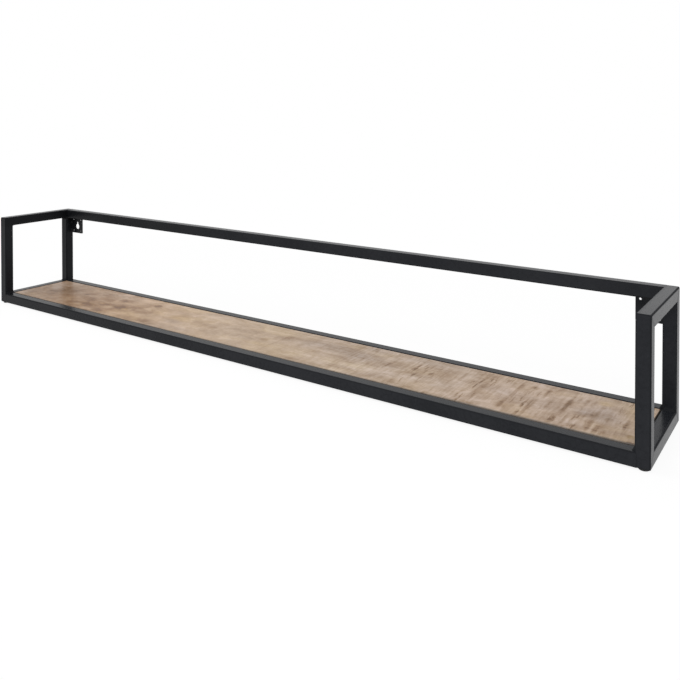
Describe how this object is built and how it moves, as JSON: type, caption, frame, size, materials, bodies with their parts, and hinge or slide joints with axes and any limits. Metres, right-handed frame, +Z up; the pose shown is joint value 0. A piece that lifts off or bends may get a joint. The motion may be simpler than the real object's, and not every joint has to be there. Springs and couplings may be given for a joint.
{
  "type": "wall shelf",
  "caption": "Long wall shelf: a welded square-tube steel frame, open in front, with an inset wooden board and a keyhole hanger plate in each top back corner.",
  "frame": {"origin": "middle of the shelf's footprint, at the underside of the foot pads", "axes": "+X along the shelf's length, to the right seen from in front; +Y towards the wall; +Z up"},
  "size_m": [1.44, 0.185, 0.2],
  "materials": {
    "black_frame": "satin black powder coat",
    "board_wood": "matt, greyish brown, rough-sawn look",
    "screw_steel": "zinc plated",
    "foot_rubber": "matt black"
  },
  "bodies": {
    "root": {"left_front_post": "black_frame", "left_back_post": "black_frame", "left_top_rail": "black_frame", "left_bottom_rail": "black_frame", "right_front_post": "black_frame", "right_back_post": "black_frame", "right_top_rail": "black_frame", "right_bottom_rail": "black_frame", "bottom_front_rail": "black_frame", "bottom_back_rail": "black_frame", "top_back_rail": "black_frame", "frame_welds": "black_frame", "front_left_tab": "black_frame", "front_middle_tab": "black_frame", "front_right_tab": "black_frame", "back_left_tab": "black_frame", "back_middle_tab": "black_frame", "back_right_tab": "black_frame", "left_hanger_plate": "black_frame", "right_hanger_plate": "black_frame", "shelf_board": "board_wood", "board_screws": "screw_steel", "front_left_foot_pad": "foot_rubber", "front_right_foot_pad": "foot_rubber", "back_left_foot_pad": "foot_rubber", "back_right_foot_pad": "foot_rubber"}
  },
  "joints": []
}
